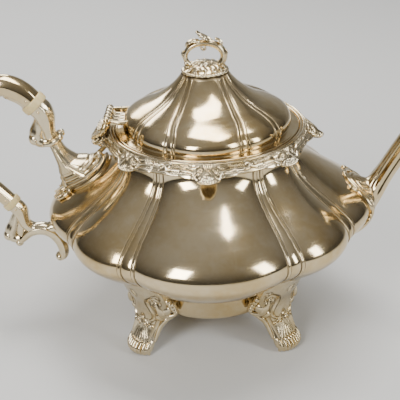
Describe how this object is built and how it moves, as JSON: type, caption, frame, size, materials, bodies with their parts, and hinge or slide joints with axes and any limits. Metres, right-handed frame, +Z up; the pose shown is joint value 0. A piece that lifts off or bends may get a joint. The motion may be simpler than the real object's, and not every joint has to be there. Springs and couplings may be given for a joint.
{
  "type": "teapot",
  "caption": "Lobed silver-plated teapot on scroll feet with a hinged domed lid, a ring finial, a curved spout and an insulated scroll handle.",
  "frame": {"origin": "on the table under the pot's vertical axis, in the middle between the handle's outermost point and the spout's tip", "axes": "+X towards the spout, +Z up, so the side seen in the picture faces -Y"},
  "size_m": [0.3237, 0.213, 0.2003],
  "materials": {
    "silver_plate": "polished silver plate with a warm tarnish",
    "cast_silver_plate": "cast silver plate, darker in its recesses",
    "bone": "satin cream insulating ring"
  },
  "bodies": {
    "pot": {"bowl": "silver_plate", "base_pan": "silver_plate", "rim_bezel": "silver_plate", "rim_border": "cast_silver_plate", "spout": "silver_plate", "spout_strainer": "silver_plate", "hinge_body_leaf": "cast_silver_plate", "hinge_pin": "silver_plate", "handle_upper_socket": "cast_silver_plate", "handle_upper_insulator": "bone", "handle_grip": "silver_plate", "handle_lower_insulator": "bone", "handle_lower_socket": "cast_silver_plate", "handle_upper_pins": "silver_plate", "handle_lower_pins": "silver_plate", "foot_front_left": "cast_silver_plate", "foot_front_right": "cast_silver_plate", "foot_back_left": "cast_silver_plate", "foot_back_right": "cast_silver_plate"},
    "lid": {"lid_dome": "silver_plate", "lid_bezel": "silver_plate", "finial_base": "cast_silver_plate", "finial_loop": "cast_silver_plate", "finial_washer": "silver_plate", "finial_nut": "silver_plate", "hinge_lid_leaf": "cast_silver_plate"}
  },
  "joints": [
    {"name": "lid_hinge", "type": "hinge", "parent": "pot", "child": "lid", "pos_m": [-0.0623, 0, 0.1479], "axis": [0, -1, 0], "range_deg": [0, 100]}
  ]
}
